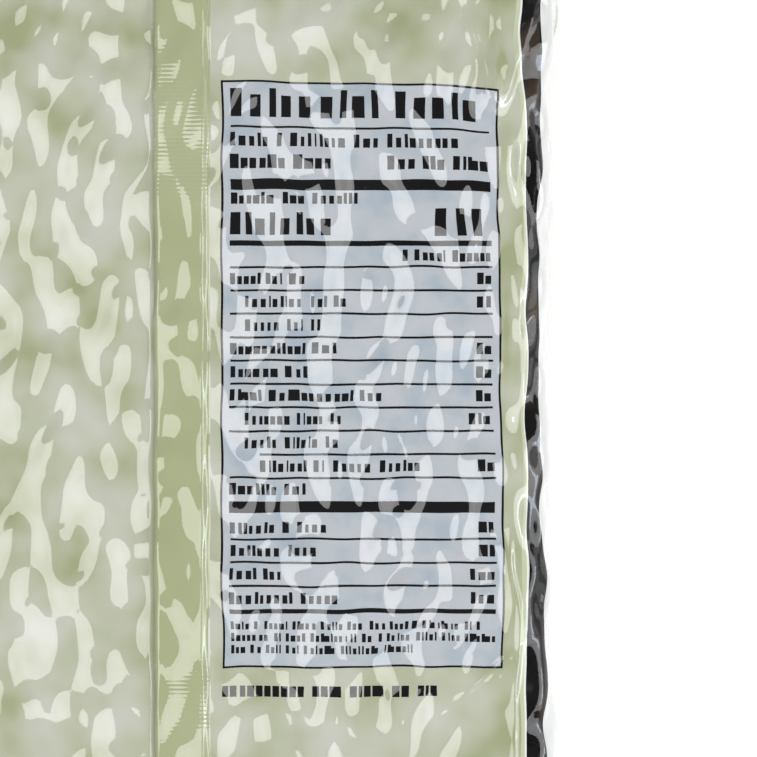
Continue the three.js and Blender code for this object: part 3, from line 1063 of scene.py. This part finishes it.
def is_inside(points, y, half_width):
    """Whether points near y lie inside the film where it is lowest between beans."""
    half, middle, top, under = section_shape(y)
    x, z = np.abs(points[:, 0]), points[:, 2]
    power = np.where(z > middle, top, under)
    sideways = (x / (half_width - CLEARANCE)) ** power
    upright = (np.abs(z - middle) / (half - CLEARANCE)) ** power
    filled = sideways + upright
    return filled.max() < 1 and z.min() > UNDER_FILM


def by_clear_film(u, y):
    side = min(u, PERIMETER - u)
    if GREEN_EDGE - BESIDE_CLEAR < side < CLEAR_END + BESIDE_CLEAR:
        return True
    across = abs(u - FRONT_MIDDLE) < WINDOW_HALF_WIDTH + BESIDE_WINDOW
    return across and WINDOW_LOW - BESIDE_WINDOW < y < WINDOW_HIGH + BESIDE_WINDOW


def placed_bean(shape, i, j, layer):
    """The points of one bean under its own bump, or None away from clear film or without room."""
    pitch = PERIMETER / BEANS_AROUND
    offset = 0.5 * (abs(j) % 2)
    u = (i + offset + SCATTER * (chance(i, j, 1) - 0.5) + 0.5 * layer) * pitch
    u = u % PERIMETER
    y = (j + SCATTER * (chance(i, j, 2) - 0.5)) * BEAN_PITCH_Y
    if not by_clear_film(u, y):
        return None
    rise = RELIEF * (LOWEST_BEAN + (1 - LOWEST_BEAN) * chance(i, j, 3))
    turn = TURN * (chance(i, j, 4) - 0.5) + layer
    c, s = math.cos(turn), math.sin(turn)
    size = BEAN_HALF * (SMALLEST_BEAN + BEAN_SPREAD * chance(i, j, 5))
    local = shape * size
    local = local * (1 - BEAN_WAIST * np.cos(local[:, :1] / size[0] * BEAN_WAIST_TURN))
    a = local[:, 0] * c - local[:, 1] * s
    b = local[:, 0] * s + local[:, 1] * c
    along, x, z, middles, out_x, out_z = section(y)
    ox = np.interp(u, middles, out_x)
    oz = np.interp(u, middles, out_z)
    px = np.interp(u, along, x) + a * oz + local[:, 2] * ox
    pz = np.interp(u, along, z) - a * ox + local[:, 2] * oz
    points = np.stack([px, y + b, pz], axis=1)
    inward = -np.array([ox, 0, oz])
    end_y = abs(y) + BEAN_HALF[0]
    half_width = section(end_y)[1].max()
    depth = RELIEF - rise + UNDER_FILM + BEAN_HALF[2] + LAYER_DEPTH * layer
    for shift in np.arange(depth, depth + DEEPEST_SHIFT, SHIFT_STEP):
        if is_inside(points + inward * shift, end_y, half_width):
            return points + inward * shift
    return None


def build_beans():
    """The beans that lie next to clear film, two deep."""
    shape, shape_faces = bean_shape()
    vertices = []
    faces = []
    for layer in range(BEAN_LAYERS):
        for j in range(-BEAN_ROWS, BEAN_ROWS + 1):
            for i in range(BEANS_AROUND):
                points = placed_bean(shape, i, j, layer)
                if points is None:
                    continue
                start = len(vertices) * len(shape)
                vertices.append(points)
                faces += [[start + k for k in face] for face in shape_faces]
    return mesh_object("beans", np.concatenate(vertices), faces, [bean_skin()])


def build_core():
    """The dark mass of beans behind the first two layers."""
    u = np.linspace(0, PERIMETER, MASS_AROUND + 1)[:-1]
    y = np.linspace(-HALF_LENGTH + MASS_END, HALF_LENGTH - MASS_END, MASS_ROWS)
    rows = []
    for value in y:
        along, x, z, middles, out_x, out_z = section(value)
        inset = MASS_DEPTH * float(smoothstep(0, MASS_FULL, fullness(value)))
        cx = np.interp(u, along, x) - np.interp(u, middles, out_x) * inset
        cz = np.interp(u, along, z) - np.interp(u, middles, out_z) * inset
        rows.append(np.stack([cx, np.full(MASS_AROUND, value), cz], axis=1))
    faces = []
    for r in range(MASS_ROWS - 1):
        a = r * MASS_AROUND
        b = a + MASS_AROUND
        for c in range(MASS_AROUND):
            d = (c + 1) % MASS_AROUND
            faces.append([a + c, a + d, b + d, b + c])
    last = (MASS_ROWS - 1) * MASS_AROUND
    faces.append(list(range(MASS_AROUND))[::-1])
    faces.append([last + c for c in range(MASS_AROUND)])
    return mesh_object("bean_core", np.array(rows).reshape(-1, 3), faces, [deep_dark()])


film_back, film_front = build_film()
seal_top = build_seal(1, "seal_top")
seal_bottom = build_seal(-1, "seal_bottom")
beans = build_beans()
bean_core = build_core()
for piece in (film_back, film_front, seal_top, seal_bottom, beans, bean_core):
    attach(piece, "root")
    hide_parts("bag")


# Floor, light and camera


def build_floor():
    size = FLOOR_HALF
    corners = [(-size, -size, 0), (size, -size, 0), (size, size, 0), (-size, size, 0)]
    floor = mesh_object("floor", corners, [[0, 1, 2, 3]], [])
    material, nodes, links, shader = new_material("floor", FLOOR_ROUGHNESS)
    mottled(nodes, links, shader.inputs["Base Color"], FLOOR_TONES, FLOOR_PATCHES)
    shader.inputs["Emission Color"].default_value = FLOOR_GLOW
    shader.inputs["Emission Strength"].default_value = FLOOR_GLOW_STRENGTH
    floor.data.materials.append(material)


def softbox(name, azimuth, leans, length, radiance, distance=BOX_DISTANCE, color=(1, 1, 1)):
    """A soft light reflected by film that leans towards it by an angle between the two given."""
    low, high = leans
    width = 2 * distance * math.tan(math.radians(high - low))
    data = bpy.data.lights.new(name, "AREA")
    data.shape = "RECTANGLE"
    data.size = width
    data.size_y = length
    data.energy = radiance * math.pi * width * length
    data.color = color
    light = bpy.data.objects.new(name, data)
    a = math.radians(azimuth)
    t = math.radians(low + high)
    toward = (math.sin(t) * math.cos(a), math.sin(t) * math.sin(a), math.cos(t))
    light.location = [distance * part for part in toward]
    light.location[2] += BOX_RAISED
    light.rotation_euler = (0, t, a)
    bpy.context.scene.collection.objects.link(light)


def build_light():
    for side, azimuth, low, high in SIDE_BOXES:
        middle = (low + high) / 2
        inner = (middle - (high - low) / 4, middle + (high - low) / 4)
        softbox("soft " + side, azimuth, (low, high), BOX_LENGTH, BOX_RADIANCE)
        behind = BOX_DISTANCE + INNER_BEHIND
        softbox("core " + side, azimuth, inner, INNER_LENGTH, INNER_RADIANCE, behind)
    for end, azimuth in END_BOXES:
        softbox("soft " + end, azimuth, END_LEANS, END_LENGTH, END_RADIANCE)
    softbox("low right", LOW_AZIMUTH, LOW_LEANS, LOW_LENGTH, LOW_RADIANCE)
    softbox("cool low", COOL_AZIMUTH, COOL_LEANS, COOL_LENGTH, COOL_RADIANCE, color=COOL_COLOR)
    world = bpy.data.worlds.new("studio")
    bpy.context.scene.world = world
    world.use_nodes = True
    nodes = world.node_tree.nodes
    links = world.node_tree.links
    place = nodes.new("ShaderNodeTexCoord")
    split = nodes.new("ShaderNodeSeparateXYZ")
    height = nodes.new("ShaderNodeMapRange")
    height.inputs["From Min"].default_value = SKY_LOW
    height.inputs["From Max"].default_value = SKY_HIGH
    height.inputs["To Min"].default_value = SKY_BELOW
    height.inputs["To Max"].default_value = SKY_ABOVE
    links.new(place.outputs["Generated"], split.inputs["Vector"])
    links.new(split.outputs["Z"], height.inputs["Value"])
    links.new(height.outputs["Result"], nodes["Background"].inputs["Strength"])
    nodes["Background"].inputs["Color"].default_value = (1, 1, 1, 1)


def build_camera():
    height = PANEL_HEIGHT + CAMERA_HEIGHT
    data = bpy.data.cameras.new("camera")
    data.sensor_width = SENSOR_WIDTH
    data.lens = SENSOR_WIDTH * CAMERA_HEIGHT / PHOTO_WIDTH
    data.clip_end = CLIP_END
    camera = bpy.data.objects.new("camera", data)
    camera.location = (PHOTO_MIDDLE_X * MM, PHOTO_MIDDLE_Y * MM, height * MM)
    camera.rotation_euler = (0, 0, 0)
    bpy.context.scene.collection.objects.link(camera)
    bpy.context.scene.camera = camera


build_floor()
build_light()
build_camera()
bpy.context.scene.view_settings.view_transform = "Standard"
